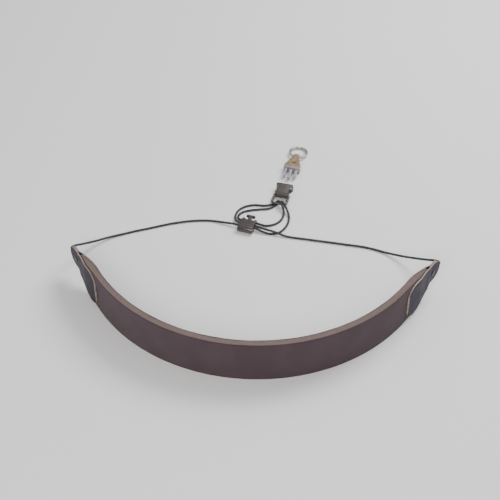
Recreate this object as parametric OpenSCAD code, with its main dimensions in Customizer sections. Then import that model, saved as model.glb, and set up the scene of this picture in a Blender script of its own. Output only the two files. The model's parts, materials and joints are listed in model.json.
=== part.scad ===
// Neck strap for a light wind instrument, laid out on a table as it is stored:
// a padded neck band standing on its edge, a thin cord from tip to tip, a
// spring cord lock, a small side-release buckle and a split ring.
// Frame: +Z up from the table, X across the band, the band opens towards +Y.

/* [Neck band] */
// Width of the band, which is its height as it stands
pad_w = 38; // [30:1:46]
// Whole thickness of the foam with both knit faces
pad_t = 5.6; // [4.6:0.2:7]
// Thickness of one knit face
jersey_t = 0.6; // [0.4:0.1:1]
// Radius of the bent middle, to the middle of the foam
pad_r = 142; // [135:1:150]
// Angle from the middle of the band to where each straight end starts
half_angle = 55; // [52:1:58]
// Length of each straight end, out to the tip
end_len = 53; // [50:1:56]
// Distance from the tip to where the foam stops
foam_stop = 19; // [18.5:0.5:21]

/* [End tabs] */
// Thickness of one leather leaf
leaf_t = 1.5; // [1.2:0.1:1.8]
// Gap of the glue line between the two leaves in the tongue
glue_gap = 0.1; // [0.1:0.05:0.3]
// Half the height of the tongue
tongue_r = 9.5; // [8.5:0.5:10]
// Height of the middle of the tongue above the table
tip_z = 22.5; // [21:0.5:23]
// Radius of the rounded corners at the broad end of a leaf
leaf_corner = 11; // [9:1:11]
// Radius of the rivet's shank
rivet_r = 1.5; // [1.2:0.1:1.6]
// Radius of the rivet's heads
rivet_head_r = 2.6; // [2.2:0.1:3]
// Radius of the sewing thread
thread_r = 0.3; // [0.2:0.05:0.35]

/* [Cord] */
// Diameter of the cord
cord_d = 2; // [1.8:0.1:2]
// Flat sides around the cord's tube
cord_sides = 8; // [8:1:12]

/* [Cord lock] */
// Width of the lock's body, along the cords
lock_w = 13; // [13:0.5:14]
// Thickness of the lock's body
lock_t = 6.4; // [6.4:0.1:7]
// Length of the lock's body, along the plunger
lock_len = 12; // [12:0.2:12.6]
// How far the plunger can be pressed in
lock_travel = 1.8; // [1.4:0.1:1.8]
// Width of the plunger's head
head_w = 8; // [7:0.2:8]

/* [Buckle] */
// Width of both halves of the buckle
buckle_w = 15; // [14.8:0.2:15.4]
// Thickness of both halves
buckle_t = 6.4; // [6.4:0.1:6.8]
// Radius of the bar that the cord goes round
bar_r = 1.1; // [0.9:0.1:1.1]
// Distance from the bar to the mouth of the socket
mouth_y = 24; // [24:0.5:26]
// Gap between the mouth and the tip of the plug as they lie
plug_gap = 11; // [9:0.5:12]

/* [Split ring] */
// Mean radius of the split ring
ring_r = 7.9; // [7.6:0.1:8.4]
// Width of the ring's flat wire, across the ring
wire_w = 1.3; // [1.1:0.1:1.4]
// Thickness of one turn of the wire
wire_t = 1.2; // [1:0.1:1.25]

/* [Hidden] */
$fn = 64;
slack = 0.01;

// The band: its front, the centre of its bend and its tips
front_y = -136.2;
bend_y = front_y + pad_r;
tip_x = pad_r * sin(half_angle) + end_len * cos(half_angle);
tip_y = bend_y - pad_r * cos(half_angle) + end_len * sin(half_angle);
foam_t = pad_t - 2 * jersey_t;

// The leaves: the inner face in the tongue, and the outer faces there and on the band
tongue_n = glue_gap / 2;
tongue_out = tongue_n + leaf_t;
face_n = pad_t / 2;
leaf_out = face_n + leaf_t;
join_d = 13.5;
rivet_d = 10.5;
leaf_len = 50;
leaf_bottom = 2.4;
leaf_top = 36;
corner_d = 39;

// Outline of each end of the band: distance from the tip, lower edge, upper edge
band_end = [
    [foam_stop - 1, 10.9, 33.2], [foam_stop, 10.2, 33.6], [23, 7.2, 35.3], [31, 3.6, 36.4],
    [42, 1, 37.6], [end_len + 2, -0.2, pad_w + 0.1]
];
bend_steps = 44;
// Outline of a leaf between its round tongue and its round corners
leaf_edge = [
    [9.5, 13, 32], [13, 12.9, 32.1], [16, 11.4, 33], [19, 9.6, 33.8],
    [23, 7.4, 34.6], [31, 4.6, 35.4], [corner_d, leaf_bottom, leaf_top]
];
leaf_low = leaf_bottom + leaf_corner;
leaf_high = leaf_top - leaf_corner;
stitch_inset = 2.2;
stitch_len = 2.2;
stitch_gap = 3.2;

// Where the lock and the buckle lie, and the way that they point
lock_at = [-9.4, 24.6];
lock_turn = -15;
buckle_at = [16.8, 55.9];
buckle_turn = -12;
bar_z = buckle_t / 2;

// The lock's inside
lock_wall = 1.1;
lock_mid = lock_t / 2;
bore_w = lock_w - 2 * 1.6;
spring_y = -4.7;
plunger_y = -1.6;
window_y = [-0.5, 4];
window_h = 2.6;
slot_end = window_y[1] + lock_travel + 0.1;
plunger_end = 6.9;
ear_x = 4.3;
ear_w = 1.9;
ear_r = 2.3;
guide_y = 8.2;
guide_z = 1.8;
guide_r = 1.3;
stem_w = 3.2;
stem_z = [3.1, 5.1];
head_y = 11.6;
head_t = 1.6;
head_z = 4.1;
head_r = 1.2;
coils = 3;
coil_r = 1.75;
coil_wire_r = 0.15;

// The buckle's loop, shell and prongs
loop_x = 6.4;
loop_r = 1.9;
frame_y = 9.8;
near_x = 6;
near_z = 1.8;
slope_len = 2.2;
cavity_y = 11.3;
cavity_w = 12.8;
cavity_h = 4.4;
waist_r = 6.5;
waist_x = 4.9;
waist_y = 16.3;
prong_len = 12;
tip_of_prong = mouth_y + plug_gap;
shoulder_y = tip_of_prong + prong_len;
eye_y = shoulder_y + 19;
eye_z = -0.2;
eye_r = 3;
eye_hole_r = 2;
ring_tilt = -6;

// The cord's route from the left tongue to the right one, chosen by hand
route = [
    [-142.7, -37.9, 22.5], [-146.7, -32.2, 22.5], [-148.2, -28.2, 22], [-146.9, -24.2, 20],
    [-142, -16, 14.5], [-134, -3, 6], [-124, 6.5, 2], [-111.9, 12.6, 1],
    [-91, 20.8, 1], [-71, 28.2, 1], [-54, 32.1, 1], [-40, 32.8, 1], [-27, 30, 2],
    [-16, 26.9, 3.2], [-9.2, 25.2, 3.2], [-2.5, 23.4, 3.2], [4.4, 20.6, 2], [11, 19.2, 1],
    [17.8, 20.8, 1], [22.9, 26.6, 1], [25.8, 34, 1], [26.2, 41.7, 1.2], [23.7, 49.4, 3.7],
    [20.6, 55, 5.5], [19.4, 57, 4.8], [18.1, 58, 3.2], [16.4, 57.7, 1.6], [14.6, 56.4, 1],
    [10, 51.9, 1], [0, 49.6, 1], [-9, 47.6, 1], [-14.8, 44.6, 1], [-17.4, 40.2, 1], [-16.9, 36.5, 1.2],
    [-13.5, 34.2, 1.8], [-7, 32.4, 1.8], [-0.4, 30.7, 1.8], [7, 29.2, 1], [14, 31.2, 1],
    [19.6, 37.2, 1], [21.6, 44, 1.4], [20.6, 50.5, 4],
    [17.8, 55.6, 5.5], [16.6, 57.6, 4.8], [15.3, 58.6, 3.2], [13.7, 58.2, 1.6], [11.8, 57, 1],
    [5, 55, 1], [-5, 55.1, 1], [-12.9, 52.2, 1], [-18, 46.8, 1], [-19.9, 40, 1], [-18.7, 32.8, 2],
    [-15.3, 29.5, 3.2], [-8.7, 27.4, 3.2], [-1.9, 25.5, 3.2], [6, 22.7, 3.2], [14, 19.8, 3.2],
    [24, 17, 1.2], [42.8, 14.2, 1], [74.3, 9.9, 1], [95.2, 6.4, 1], [108, 1.4, 1.6],
    [120, -5.4, 5], [131, -13.6, 11], [140, -20.6, 16.6], [146.4, -25.2, 20.3],
    [148.1, -28.1, 21.8], [146.7, -32.2, 22.5], [142.7, -37.9, 22.5]
];

// A ring of the tube at every point, and halfway along a long stretch
long_stretch = 15;

function unit(v) = v / norm(v);
function way(p, i) =
    i == 0 ? unit(p[1] - p[0]) :
    i == len(p) - 1 ? unit(p[i] - p[i - 1]) :
    let (a = norm(p[i] - p[i - 1]), b = norm(p[i + 1] - p[i]))
    unit(unit(p[i] - p[i - 1]) * b + unit(p[i + 1] - p[i]) * a);
function halfway(p, i) =
    let (
        s = norm(p[i + 1] - p[i]),
        q = (p[i] + p[i + 1]) / 2 + (way(p, i) - way(p, i + 1)) * s / 8
    )
    [q[0], q[1], max(q[2], cord_d / 2)];
function smoothed(p) = [
    for (i = [0:len(p) - 1])
    for (q = i < len(p) - 1 && norm(p[i + 1] - p[i]) > long_stretch ? [p[i], halfway(p, i)] : [p[i]])
    q
];
function ring_of(p, i, r, n) =
    let (t = way(p, i), u = unit(cross([0, 0, 1], t)), v = cross(t, u))
    [for (k = [0:n - 1]) p[i] + r * (cos(360 * k / n) * u + sin(360 * k / n) * v)];
function tube_faces(m, n) = concat(
    [[for (k = [n - 1:-1:0]) k]],
    [
        for (i = [0:m - 2])
        for (k = [0:n - 1])
        for (f = [
            [i * n + k, i * n + (k + 1) % n, (i + 1) * n + k],
            [i * n + (k + 1) % n, (i + 1) * n + (k + 1) % n, (i + 1) * n + k]
        ])
        f
    ],
    [[for (k = [0:n - 1]) (m - 1) * n + k]]
);
function edge_outline(rows) = concat(
    [for (e = rows) [e[0], e[1]]],
    [for (i = [len(rows) - 1:-1:0]) [rows[i][0], rows[i][2]]]
);

module tube(p, r, n) {
    polyhedron(
        points = [for (i = [0:len(p) - 1]) each ring_of(p, i, r, n)],
        faces = tube_faces(len(p), n)
    );
}

// Local frame at a tip: x along the band from the tip, y out of its outer face
module on_right_end() {
    translate([tip_x, tip_y, 0])
        rotate(180 + half_angle)
        children();
}

module on_left_end() {
    mirror([1, 0, 0])
        on_right_end()
        children();
}

// A plate of the band's end: an outline in x and z, between two faces in y
module upright(y0, y1) {
    translate([0, y1, 0])
        rotate([90, 0, 0])
        linear_extrude(y1 - y0)
        children();
}

// A place in plan: at an angle round the bend, out from its middle, then straight on
function on_band(a, n, ahead = 0) = [
    (pad_r + n) * sin(a) + ahead * cos(a),
    bend_y - (pad_r + n) * cos(a) + ahead * sin(a)
];

// One face of the band in plan, from its left end to its right one
function band_face(n) = concat(
    [on_band(-half_angle, n, foam_stop - end_len)],
    [for (i = [0:bend_steps]) on_band(half_angle * (2 * i / bend_steps - 1), n)],
    [on_band(half_angle, n, end_len - foam_stop)]
);

function backwards(p) = [for (i = [len(p) - 1:-1:0]) p[i]];

// What is cut off above and below an end of the band
module end_offcuts() {
    reach = face_n + 1;
    upright(-reach, reach) polygon(concat([for (e = band_end) [e[0], e[2]]], [[foam_stop - 1, pad_w + 1]]));
    upright(-reach, reach) polygon(concat([for (e = band_end) [e[0], e[1]]], [[foam_stop - 1, -1]]));
}

// One layer of the band between two faces, measured outwards from its middle
module band_layer(n0, n1) {
    difference() {
        linear_extrude(pad_w) polygon(concat(band_face(n1), backwards(band_face(n0))));
        on_right_end() end_offcuts();
        on_left_end() end_offcuts();
    }
}

module foam_core() {
    color([0.36, 0.32, 0.33]) band_layer(-foam_t / 2, foam_t / 2);
}

module outer_jersey() {
    color([0.2, 0.16, 0.19]) band_layer(foam_t / 2, face_n);
}

module inner_jersey() {
    color([0.2, 0.16, 0.19]) band_layer(-face_n, -foam_t / 2);
}

// A leaf's face, seen from outside
module leaf_outline() {
    translate([tongue_r, tip_z]) circle(tongue_r);
    polygon(edge_outline(leaf_edge));
    translate([corner_d, leaf_low]) circle(leaf_corner);
    translate([corner_d, leaf_high]) circle(leaf_corner);
    translate([corner_d, leaf_low]) square([leaf_corner, leaf_high - leaf_low]);
}

// A leaf's section along the band: together in the tongue, apart over the foam
module leaf_section() {
    polygon([
        [0, tongue_n], [join_d, tongue_n], [foam_stop, face_n], [leaf_len, face_n],
        [leaf_len, leaf_out], [foam_stop - 0.6, leaf_out], [join_d - 0.6, tongue_out], [0, tongue_out]
    ]);
}

module outer_leaf() {
    difference() {
        intersection() {
            linear_extrude(pad_w) leaf_section();
            upright(0, leaf_out) leaf_outline();
        }
        translate([rivet_d, 0, tip_z]) rotate([-90, 0, 0]) cylinder(r = rivet_r, h = leaf_out);
        translate([-1, 0, tip_z]) rotate([0, 90, 0]) cylinder(d = cord_d, h = 8.1);
    }
}

module left_outer_leaf() {
    color([0.13, 0.13, 0.17]) on_left_end() outer_leaf();
}

module left_inner_leaf() {
    color([0.16, 0.15, 0.18]) on_left_end() mirror([0, 1, 0]) outer_leaf();
}

module right_outer_leaf() {
    color([0.13, 0.13, 0.17]) on_right_end() outer_leaf();
}

module right_inner_leaf() {
    color([0.16, 0.15, 0.18]) on_right_end() mirror([0, 1, 0]) outer_leaf();
}

// The rivet's head and shank, pointing from the outer leaf to the inner one
module rivet() {
    translate([rivet_d, 0, tip_z]) rotate([90, 0, 0]) {
        translate([0, 0, -tongue_out - 0.7]) cylinder(r = rivet_head_r, h = 0.7);
        translate([0, 0, -tongue_out]) cylinder(r = rivet_r, h = 2 * tongue_out + 0.4);
    }
}

module rivet_cap() {
    translate([rivet_d, -tongue_out - 0.8, tip_z]) rotate([-90, 0, 0]) difference() {
        cylinder(r = rivet_head_r, h = 0.8);
        translate([0, 0, 0.4]) cylinder(r = rivet_r, h = 1);
    }
}

module left_rivet() {
    color([0.2, 0.17, 0.18]) on_left_end() rivet();
}

module left_rivet_cap() {
    color([0.2, 0.17, 0.18]) on_left_end() rivet_cap();
}

module right_rivet() {
    color([0.2, 0.17, 0.18]) on_right_end() rivet();
}

module right_rivet_cap() {
    color([0.2, 0.17, 0.18]) on_right_end() rivet_cap();
}

// One stitch lying on a face, centred at a place in x and z
module stitch(x, z, turn, y) {
    translate([x, y, z])
        rotate([0, 90 - turn, 0])
        cylinder(r = thread_r, h = stitch_len, center = true, $fn = 16);
}

// The row of stitches inside a leaf's edge, on the face at y
module stitch_row(y) {
    arc_r = leaf_corner - stitch_inset;
    first = 26;
    for (i = [0:4]) {
        stitch(first + stitch_gap * i, 35.2 - stitch_inset + 0.1 * i, 2, y);
        stitch(first + stitch_gap * i, 6.4 + stitch_inset - 0.85 * i, -12, y);
    }
    for (a = [70, 50, 30, 10]) {
        stitch(corner_d + arc_r * cos(a), leaf_high + arc_r * sin(a), a - 90, y);
        stitch(corner_d + arc_r * cos(a), leaf_low - arc_r * sin(a), 90 - a, y);
    }
    for (i = [0:3]) stitch(corner_d + arc_r, leaf_low + 1.2 + stitch_gap * i, 90, y);
}

module tab_stitches() {
    stitch_row(leaf_out + thread_r);
    stitch_row(-leaf_out - thread_r);
}

module left_stitches() {
    color([0.08, 0.08, 0.09]) on_left_end() tab_stitches();
}

module right_stitches() {
    color([0.08, 0.08, 0.09]) on_right_end() tab_stitches();
}

module cord() {
    color([0.1, 0.1, 0.13]) tube(smoothed(route), cord_d / 2 - slack, cord_sides);
}

// Local frame of the lock: x along the cords, y out along the plunger
module on_lock() {
    translate([lock_at[0], lock_at[1], 0])
        rotate(lock_turn)
        children();
}

// An outline in y and z, made into a plate across x
module across(x0, x1) {
    translate([x0, 0, 0])
        rotate([90, 0, 90])
        linear_extrude(x1 - x0)
        children();
}

module lock_body() {
    y0 = -lock_len / 2;
    y1 = lock_len / 2;
    color([0.08, 0.08, 0.09]) on_lock() difference() {
        union() {
            across(-lock_w / 2, lock_w / 2) {
                translate([y0 + lock_mid, lock_mid]) circle(lock_mid);
                translate([y0 + lock_mid, 0]) square([lock_len - lock_mid, lock_t]);
            }
            for (x0 = [-ear_x - ear_w, ear_x]) across(x0, x0 + ear_w) {
                translate([y1 - 1, 0]) square([guide_y - y1 + 1, 2 * ear_r]);
                translate([guide_y, ear_r]) circle(ear_r);
            }
        }
        translate([-bore_w / 2, spring_y, lock_wall])
            cube([bore_w, y1 - spring_y + 1, lock_t - 2 * lock_wall]);
        translate([-lock_w, window_y[0], lock_mid - window_h / 2])
            cube([2 * lock_w, window_y[1] - window_y[0], window_h]);
        translate([-lock_w, guide_y, guide_z]) rotate([0, 90, 0]) cylinder(r = guide_r, h = 2 * lock_w);
    }
}

module lock_plunger() {
    play = 0.2;
    block_w = bore_w - 2 * play;
    block_t = lock_t - 2 * lock_wall - 2 * play;
    color([0.09, 0.09, 0.1]) on_lock() difference() {
        union() {
            translate([-block_w / 2, plunger_y, lock_mid - block_t / 2])
                cube([block_w, plunger_end - plunger_y, block_t]);
            translate([-stem_w / 2, plunger_end - 1, stem_z[0]])
                cube([stem_w, head_y - plunger_end + 1.5, stem_z[1] - stem_z[0]]);
            translate([0, head_y, head_z]) rotate([-90, 0, 0]) linear_extrude(head_t) {
                for (x = [-1, 1]) translate([x * (head_w / 2 - head_r), 0]) circle(head_r);
                square([head_w - 2 * head_r, 2 * head_r], center = true);
            }
        }
        translate([-lock_w, window_y[0], lock_mid - window_h / 2])
            cube([2 * lock_w, slot_end - window_y[0], window_h]);
    }
}

module lock_spring() {
    rise = plunger_y - spring_y - 2 * coil_wire_r - 0.1;
    turns = [
        for (a = [0:24:360 * coils])
        [coil_r * cos(a), coil_r * sin(a), coil_wire_r + 0.05 + rise * a / (360 * coils)]
    ];
    color([0.7, 0.7, 0.72]) on_lock()
        translate([0, spring_y, lock_mid])
        rotate([-90, 0, 0])
        tube(turns, coil_wire_r, 6);
}

// Local frame of the buckle: the bar along x at height 0, the mouth towards y
module on_buckle() {
    translate([buckle_at[0], buckle_at[1], bar_z])
        rotate(buckle_turn)
        children();
}

// Half of the shell in plan, from its narrow near end to its mouth
module half_shell() {
    difference() {
        polygon([
            [0, frame_y], [near_x, frame_y], [near_x + 0.4, frame_y + 3], [buckle_w / 2, waist_y + 2],
            [buckle_w / 2, mouth_y - 1.2], [buckle_w / 2 - 1, mouth_y], [0, mouth_y]
        ]);
        translate([waist_x + waist_r, waist_y]) circle(waist_r);
    }
}

// The shell from the side, sloping down to its near end
module shell_side() {
    t = buckle_t / 2;
    polygon([
        [frame_y, -near_z], [frame_y + slope_len, -t], [mouth_y, -t],
        [mouth_y, t], [frame_y + slope_len, t], [frame_y, near_z]
    ]);
}

module shell_cavity() {
    narrow = cavity_w / 2 - 1.8;
    translate([0, 0, -cavity_h / 2]) linear_extrude(cavity_h) polygon([
        [-narrow, cavity_y], [narrow, cavity_y], [cavity_w / 2, cavity_y + 3.5], [cavity_w / 2, mouth_y + 1],
        [-cavity_w / 2, mouth_y + 1], [-cavity_w / 2, cavity_y + 3.5]
    ]);
}

// Half of the round loop in front of the shell: bar, corner and rail
module half_loop() {
    rotate([0, 90, 0]) cylinder(r = bar_r, h = loop_x - loop_r + slack);
    translate([loop_x - loop_r, loop_r, 0])
        rotate(-90)
        rotate_extrude(angle = 90, $fn = 48)
        translate([loop_r, 0])
        circle(bar_r, $fn = 24);
    translate([loop_x, loop_r - slack, 0])
        rotate([-90, 0, 0])
        cylinder(r = bar_r, h = frame_y + 1.4 - loop_r, $fn = 24);
}

module buckle_socket() {
    color([0.12, 0.11, 0.11]) on_buckle() difference() {
        union() {
            intersection() {
                translate([0, 0, -buckle_t / 2]) linear_extrude(buckle_t) {
                    half_shell();
                    mirror([1, 0]) half_shell();
                }
                across(-buckle_w, buckle_w) shell_side();
            }
            half_loop();
            mirror([1, 0, 0]) half_loop();
        }
        shell_cavity();
    }
}

// One bowed arm of the plug with its catch
module arm() {
    y = tip_of_prong;
    polygon([
        [3.9, y + prong_len + 1], [5.9, y + prong_len + 1], [5.7, y + 9.6], [6.2, y + 7],
        [6.2, y + 4.6], [5.2, y + 2.2], [3.9, y + 1.4], [3.4, y + 2.6], [3.9, y + 6], [3.7, y + 9.6]
    ]);
}

// Half of the plug's broad end, from its shoulder to its narrow tail
module half_body() {
    y = shoulder_y;
    polygon([
        [0, y], [buckle_w / 2 - 0.1, y], [buckle_w / 2 - 0.1, y + 3.8],
        [5.6, y + 8.4], [2.8, y + 16.6], [0, y + 16.6]
    ]);
}

module buckle_plug() {
    color([0.62, 0.62, 0.6]) on_buckle() difference() {
        union() {
            translate([0, 0, -1.6]) linear_extrude(3.2) {
                arm();
                mirror([1, 0]) arm();
                translate([-1.2, tip_of_prong]) square([2.4, prong_len + 1]);
            }
            translate([0, 0, -buckle_t / 2]) linear_extrude(buckle_t - 0.4) {
                half_body();
                mirror([1, 0]) half_body();
            }
            translate([-2.2, eye_y - 3, eye_z - eye_r]) cube([4.4, 3, 2 * eye_r]);
            translate([0, eye_y, eye_z]) rotate([0, 90, 0]) cylinder(r = eye_r, h = 4.4, center = true);
        }
        translate([0, eye_y, eye_z]) rotate([0, 90, 0]) cylinder(r = eye_hole_r, h = 6, center = true);
        translate([-1.7, shoulder_y + 7.4, -buckle_t]) cube([3.4, 1.3, 2 * buckle_t]);
    }
}

// Two turns of flat wire lying on each other, joined where the ring is split
module split_ring() {
    color([0.75, 0.75, 0.77]) on_buckle()
        translate([0, eye_y, eye_z])
        rotate([ring_tilt, 0, 0])
        translate([0, ring_r, 0]) {
            for (z = [-wire_t - 0.03, 0.03]) translate([0, 0, z])
                rotate_extrude()
                translate([ring_r - wire_w / 2, 0])
                square([wire_w, wire_t]);
            translate([-0.8, ring_r - wire_w / 2 + 0.1, -0.2]) cube([1.6, wire_w - 0.2, 0.4]);
        }
}

foam_core();
outer_jersey();
inner_jersey();
left_outer_leaf();
left_inner_leaf();
right_outer_leaf();
right_inner_leaf();
left_rivet();
left_rivet_cap();
right_rivet();
right_rivet_cap();
left_stitches();
right_stitches();
cord();
lock_body();
lock_plunger();
lock_spring();
buckle_socket();
buckle_plug();
split_ring();
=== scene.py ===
# %% [markdown]
# A neck strap for a light wind instrument, finished for a close look. The plain
# working model is loaded first and never moved. Each visible piece is then made
# again with the detail of the real one, or gets a better material, and rides on
# the body that carries it.

# %% Load the working model and keep its box
import json
import math

import bmesh
import bpy
import numpy as np
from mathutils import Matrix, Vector


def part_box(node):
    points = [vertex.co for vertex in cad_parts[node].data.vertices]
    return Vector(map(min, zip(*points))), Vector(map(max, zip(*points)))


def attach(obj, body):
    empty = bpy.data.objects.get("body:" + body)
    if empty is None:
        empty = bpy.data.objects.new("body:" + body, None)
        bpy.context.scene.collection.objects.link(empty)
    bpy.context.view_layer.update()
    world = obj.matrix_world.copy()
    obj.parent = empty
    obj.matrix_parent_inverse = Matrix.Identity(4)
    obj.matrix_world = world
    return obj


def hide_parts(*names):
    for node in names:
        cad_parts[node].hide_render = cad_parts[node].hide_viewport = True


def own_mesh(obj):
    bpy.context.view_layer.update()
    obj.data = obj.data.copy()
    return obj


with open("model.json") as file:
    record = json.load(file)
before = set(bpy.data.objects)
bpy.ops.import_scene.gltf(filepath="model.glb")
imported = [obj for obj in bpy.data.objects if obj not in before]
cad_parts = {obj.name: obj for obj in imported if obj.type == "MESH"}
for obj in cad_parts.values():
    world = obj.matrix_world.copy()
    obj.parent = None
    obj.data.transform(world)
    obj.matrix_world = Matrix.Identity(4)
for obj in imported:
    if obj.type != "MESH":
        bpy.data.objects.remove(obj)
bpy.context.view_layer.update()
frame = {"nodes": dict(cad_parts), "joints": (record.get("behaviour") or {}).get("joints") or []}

# %% [markdown]
# The camera comes first, because the cord is checked against what it sees. It
# stands in front of the band and well above it, and looks down at 44 degrees
# through a long lens, so the band keeps its shape across the frame.

# %% Camera
CAMERA_PLACE = (0.03184, -0.65770, 0.63700)
CAMERA_TILT = math.radians(90 - 44)
CAMERA_TURN = math.radians(3.28)
camera_data = bpy.data.cameras.new("camera")
camera_data.lens = 78.84
camera_data.sensor_width = 36
camera_data.shift_x = 0.002
camera_data.shift_y = -0.002
camera = bpy.data.objects.new("camera", camera_data)
camera.location = CAMERA_PLACE
camera.rotation_euler = (CAMERA_TILT, 0, CAMERA_TURN)
bpy.context.scene.collection.objects.link(camera)
bpy.context.scene.camera = camera
print("camera at", CAMERA_PLACE, "lens", camera_data.lens)

# %% [markdown]
# Most pieces here are lofts: a closed ring of points is carried along a path,
# and each ring is joined to the next. One helper makes them all, from the cord
# to the leather leaves. It also lays a UV map in millimetres, so that a knit or
# a braid can follow the surface at its real scale.

# %% Helpers that make objects
MM = 0.001


def new_object(name, mesh):
    """An object at the origin, linked to the scene."""
    made = bpy.data.objects.new(name, mesh)
    bpy.context.scene.collection.objects.link(made)
    return made


def loft(name, rings, flat, rim=(), rim_ends=0, smooth_angle=40):
    """A closed shell through rings of points. flat gives each point's UV in millimetres.

    rim lists the places round the ring whose faces take the second material, and
    rim_ends is how many bands of faces at each end take it too."""
    rings = np.asarray(rings, float)
    count, sides = rings.shape[:2]
    faces, second = [], []
    rim = set(rim)
    for i in range(count - 1):
        at_end = i < rim_ends or i >= count - 1 - rim_ends
        for k in range(sides):
            n = (k + 1) % sides
            faces.append((i * sides + k, i * sides + n, (i + 1) * sides + n, (i + 1) * sides + k))
            second.append(at_end or k in rim)
    last = (count - 1) * sides
    faces.append(tuple(range(sides - 1, -1, -1)))
    faces.append(tuple(range(last, last + sides)))
    second += [rim_ends > 0] * 2
    mesh = bpy.data.meshes.new(name)
    mesh.from_pydata(rings.reshape(-1, 3).tolist(), [], faces)
    mesh.polygons.foreach_set("material_index", np.array(second, dtype=np.int32))
    corners = np.zeros(len(mesh.loops), dtype=np.int32)
    mesh.loops.foreach_get("vertex_index", corners)
    uv = mesh.uv_layers.new(name="UVMap")
    uv.data.foreach_set("uv", np.asarray(flat, float).reshape(-1, 2)[corners].ravel())
    shell = bmesh.new()
    shell.from_mesh(mesh)
    bmesh.ops.recalc_face_normals(shell, faces=shell.faces)
    shell.to_mesh(mesh)
    shell.free()
    mesh.shade_smooth()
    mesh.set_sharp_from_angle(angle=math.radians(smooth_angle))
    return new_object(name, mesh)


def lengths_along(points):
    """How far along a line of points each of them is."""
    steps = np.linalg.norm(np.diff(points, axis=0), axis=1)
    return np.concatenate([[0], np.cumsum(steps)])


def carried_frames(path):
    """A tangent and two cross directions at each point, turned as little as possible."""
    tangents = np.gradient(path, axis=0)
    tangents /= np.linalg.norm(tangents, axis=1, keepdims=True)
    side = np.cross(tangents[0], (0, 0, 1))
    if np.linalg.norm(side) < 1e-6:
        side = np.array((1.0, 0, 0))
    sides = []
    for t in tangents:
        side = side - t * np.dot(side, t)
        side /= np.linalg.norm(side)
        sides.append(side.copy())
    sides = np.array(sides)
    return tangents, sides, np.cross(tangents, sides)


def tube(name, path, radius, sides):
    """A tube along a path. radius is a number, or one for each point of each ring."""
    _, u, v = carried_frames(path)
    turn = np.arange(sides) * 2 * math.pi / sides
    radius = np.broadcast_to(radius, (len(path), sides))
    cross = np.cos(turn)[None, :, None] * u[:, None] + np.sin(turn)[None, :, None] * v[:, None]
    rings = path[:, None] + radius[:, :, None] * cross
    along = lengths_along(path) / MM
    flat = np.stack(np.broadcast_arrays(along[:, None], (turn / (2 * math.pi))[None]), axis=2)
    return loft(name, rings, flat, smooth_angle=60)


print("helpers ready: loft, tube")

# %% [markdown]
# The cord is one braided line, 2 mm thick, from the left tab to the right one.
# It goes through the lock, out to the right and round the buckle's bar, back on
# the left through the lock's two ears, round the bar again, and through the lock
# once more. The points below are its route. A smooth line is drawn through them,
# softened a little as a limp cord settles, and kept from sinking into the table.

# %% The cord's route
CORD_R = 1.0 * MM
ROUTE = [
    (-0.1427, -0.0379, 0.0225), (-0.1467, -0.0322, 0.0225), (-0.1482, -0.0282, 0.0220),
    (-0.1469, -0.0242, 0.0200), (-0.1420, -0.0160, 0.0145), (-0.1340, -0.0030, 0.0060),
    (-0.1240, 0.0065, 0.0020), (-0.1119, 0.0126, 0.0010), (-0.0910, 0.0208, 0.0010),
    (-0.0710, 0.0282, 0.0010), (-0.0540, 0.0321, 0.0010), (-0.0400, 0.0328, 0.0010),
    (-0.0270, 0.0300, 0.0020), (-0.0160, 0.0269, 0.0032), (-0.0092, 0.0252, 0.0032),
    (-0.0025, 0.0234, 0.0032), (0.0044, 0.0206, 0.0020), (0.0110, 0.0192, 0.0010),
    (0.0178, 0.0208, 0.0010), (0.0229, 0.0266, 0.0010), (0.0258, 0.0340, 0.0010),
    (0.0262, 0.0417, 0.0012), (0.0237, 0.0494, 0.0037), (0.0206, 0.0550, 0.0055),
    (0.0194, 0.0570, 0.0048), (0.0181, 0.0580, 0.0032), (0.0164, 0.0577, 0.0016),
    (0.0146, 0.0564, 0.0010), (0.0100, 0.0519, 0.0010), (0.0000, 0.0496, 0.0010),
    (-0.0090, 0.0476, 0.0010), (-0.0148, 0.0446, 0.0010), (-0.0174, 0.0402, 0.0010),
    (-0.0169, 0.0365, 0.0012), (-0.0135, 0.0342, 0.0018), (-0.0070, 0.0324, 0.0018),
    (-0.0004, 0.0307, 0.0018), (0.0070, 0.0292, 0.0010), (0.0140, 0.0312, 0.0010),
    (0.0196, 0.0372, 0.0010), (0.0216, 0.0440, 0.0014), (0.0206, 0.0505, 0.0040),
    (0.0178, 0.0556, 0.0055), (0.0166, 0.0576, 0.0048), (0.0153, 0.0586, 0.0032),
    (0.0137, 0.0582, 0.0016), (0.0118, 0.0570, 0.0010), (0.0050, 0.0550, 0.0010),
    (-0.0050, 0.0551, 0.0010), (-0.0129, 0.0522, 0.0010), (-0.0180, 0.0468, 0.0010),
    (-0.0199, 0.0400, 0.0010), (-0.0187, 0.0328, 0.0020), (-0.0153, 0.0295, 0.0032),
    (-0.0087, 0.0274, 0.0032), (-0.0019, 0.0255, 0.0032), (0.0060, 0.0227, 0.0032),
    (0.0140, 0.0198, 0.0032), (0.0240, 0.0170, 0.0012), (0.0428, 0.0142, 0.0010),
    (0.0743, 0.0099, 0.0010), (0.0952, 0.0064, 0.0010), (0.1080, 0.0014, 0.0016),
    (0.1200, -0.0054, 0.0050), (0.1310, -0.0136, 0.0110), (0.1400, -0.0206, 0.0166),
    (0.1464, -0.0252, 0.0203), (0.1481, -0.0281, 0.0218), (0.1467, -0.0322, 0.0225),
    (0.1427, -0.0379, 0.0225),
]


def unit(v):
    """A vector of length one."""
    return v / np.linalg.norm(v)


def directions(points):
    """The way that the line goes at each point, leaning to the nearer neighbour."""
    found = [unit(points[1] - points[0])]
    for before, here, after in zip(points, points[1:], points[2:]):
        a, b = np.linalg.norm(here - before), np.linalg.norm(after - here)
        found.append(unit(unit(here - before) * b + unit(after - here) * a))
    return found + [unit(points[-1] - points[-2])]


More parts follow.
